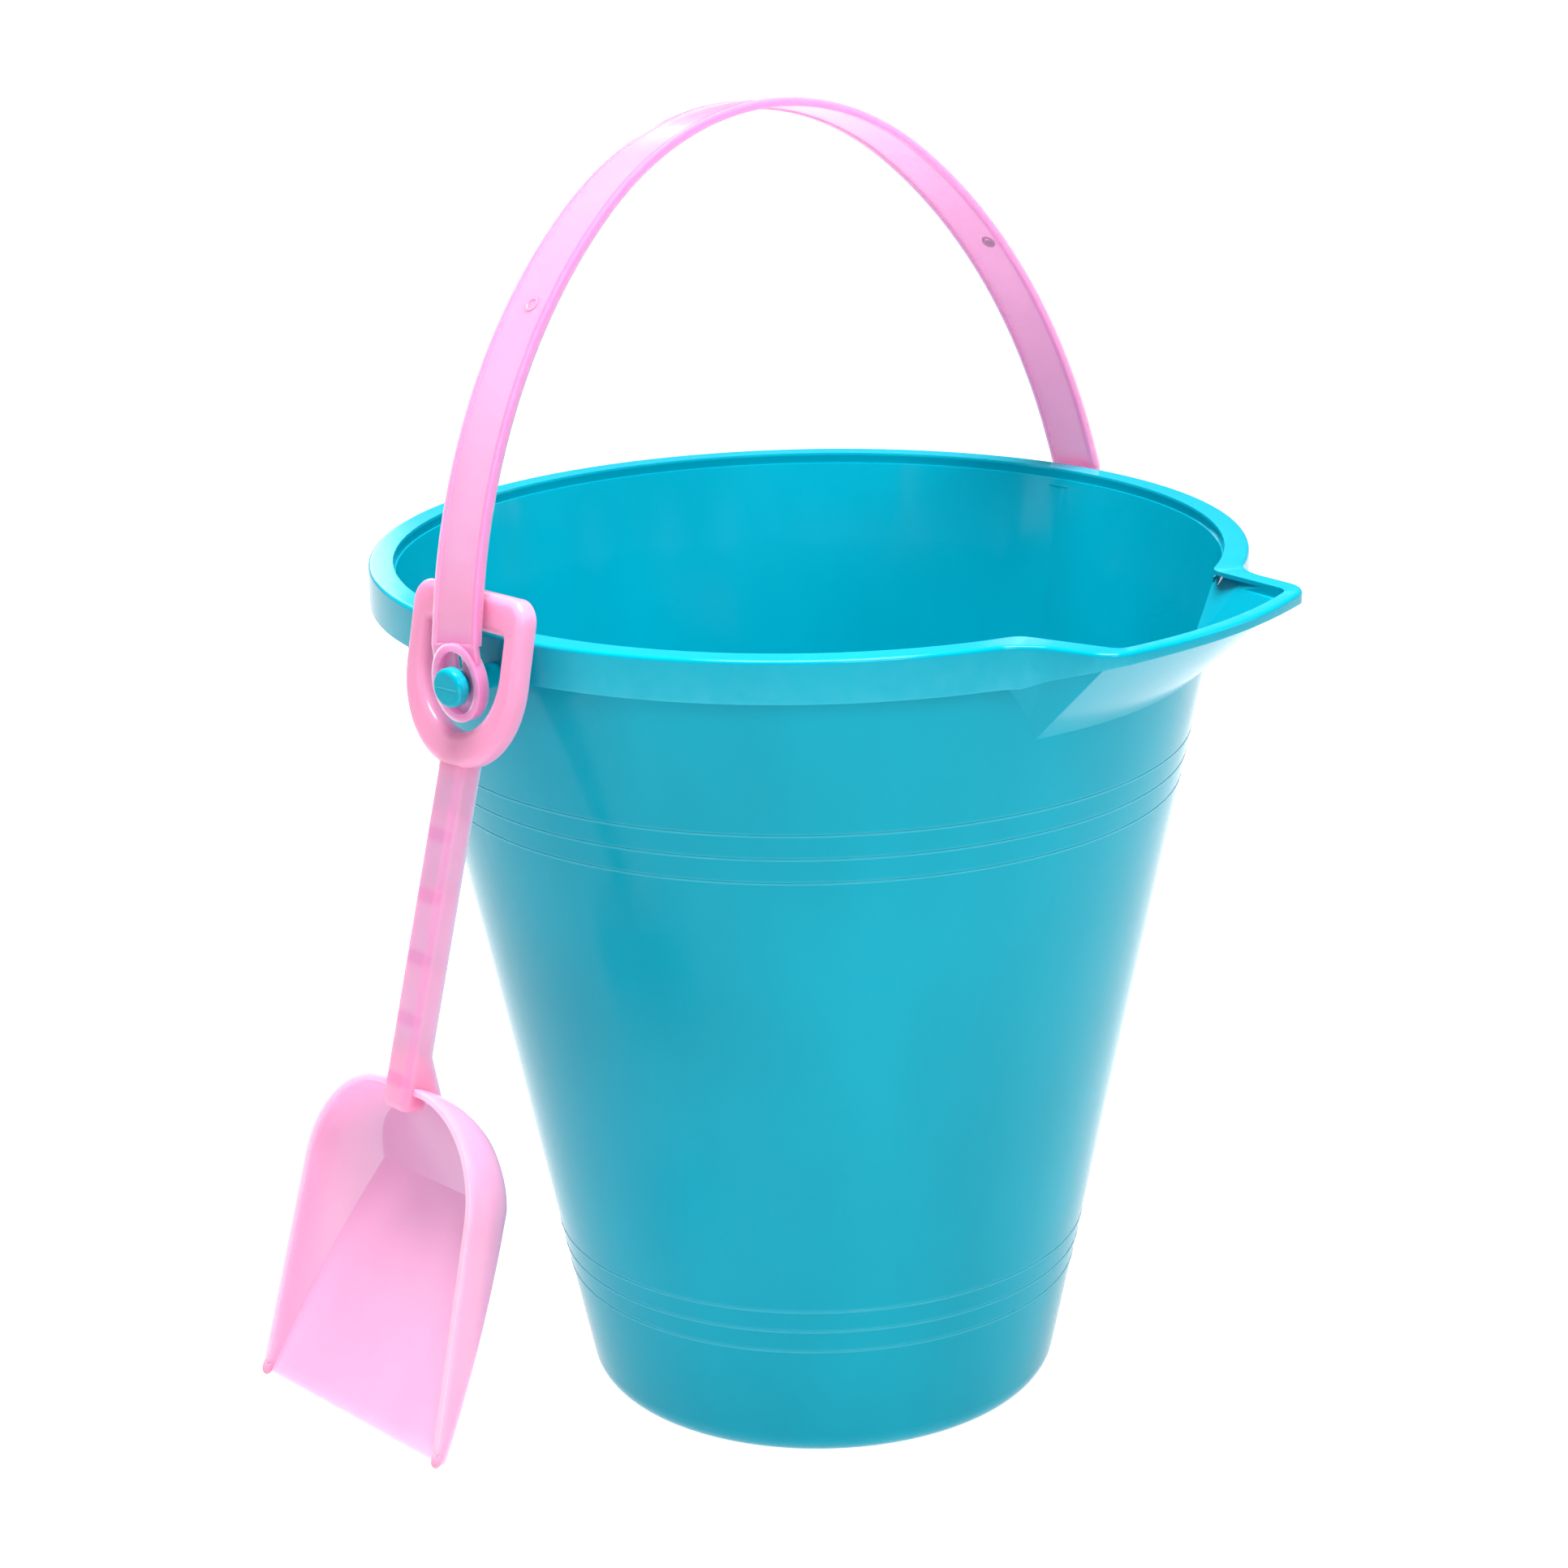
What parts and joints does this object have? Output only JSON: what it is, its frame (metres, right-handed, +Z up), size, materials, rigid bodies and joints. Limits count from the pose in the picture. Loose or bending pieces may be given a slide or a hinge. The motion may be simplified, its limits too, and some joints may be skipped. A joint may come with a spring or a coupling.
{
  "type": "sand bucket",
  "caption": "Tapered toy sand bucket with a pouring spout, a swinging bail handle snapped over side pegs, and a scoop shovel hung on one peg.",
  "frame": {"origin": "centre of the base, on the ground plane the bucket stands on", "axes": "+Z up; the two pegs lie along X, with the shovel on the -X peg; the pouring spout points towards -Y"},
  "size_m": [0.2684, 0.218, 0.3039],
  "materials": {
    "bucket_plastic": "turquoise, smooth moulded, slightly translucent",
    "handle_plastic": "milky pink, smooth moulded, translucent",
    "shovel_plastic": "milky pink, smooth moulded, translucent"
  },
  "bodies": {
    "bucket": {"bucket": "bucket_plastic"},
    "handle": {"handle": "handle_plastic"},
    "shovel": {"shovel": "shovel_plastic"}
  },
  "joints": [
    {"name": "handle_swing", "type": "hinge", "parent": "bucket", "child": "handle", "pos_m": [0, 0, 0.195], "axis": [-1, 0, 0], "range_deg": [-14, 40]},
    {"name": "shovel_swing", "type": "hinge", "parent": "bucket", "child": "shovel", "pos_m": [-0.106, 0, 0.195], "axis": [-0.9639, 0.1461, 0.2225], "range_deg": [-10, 10]}
  ]
}
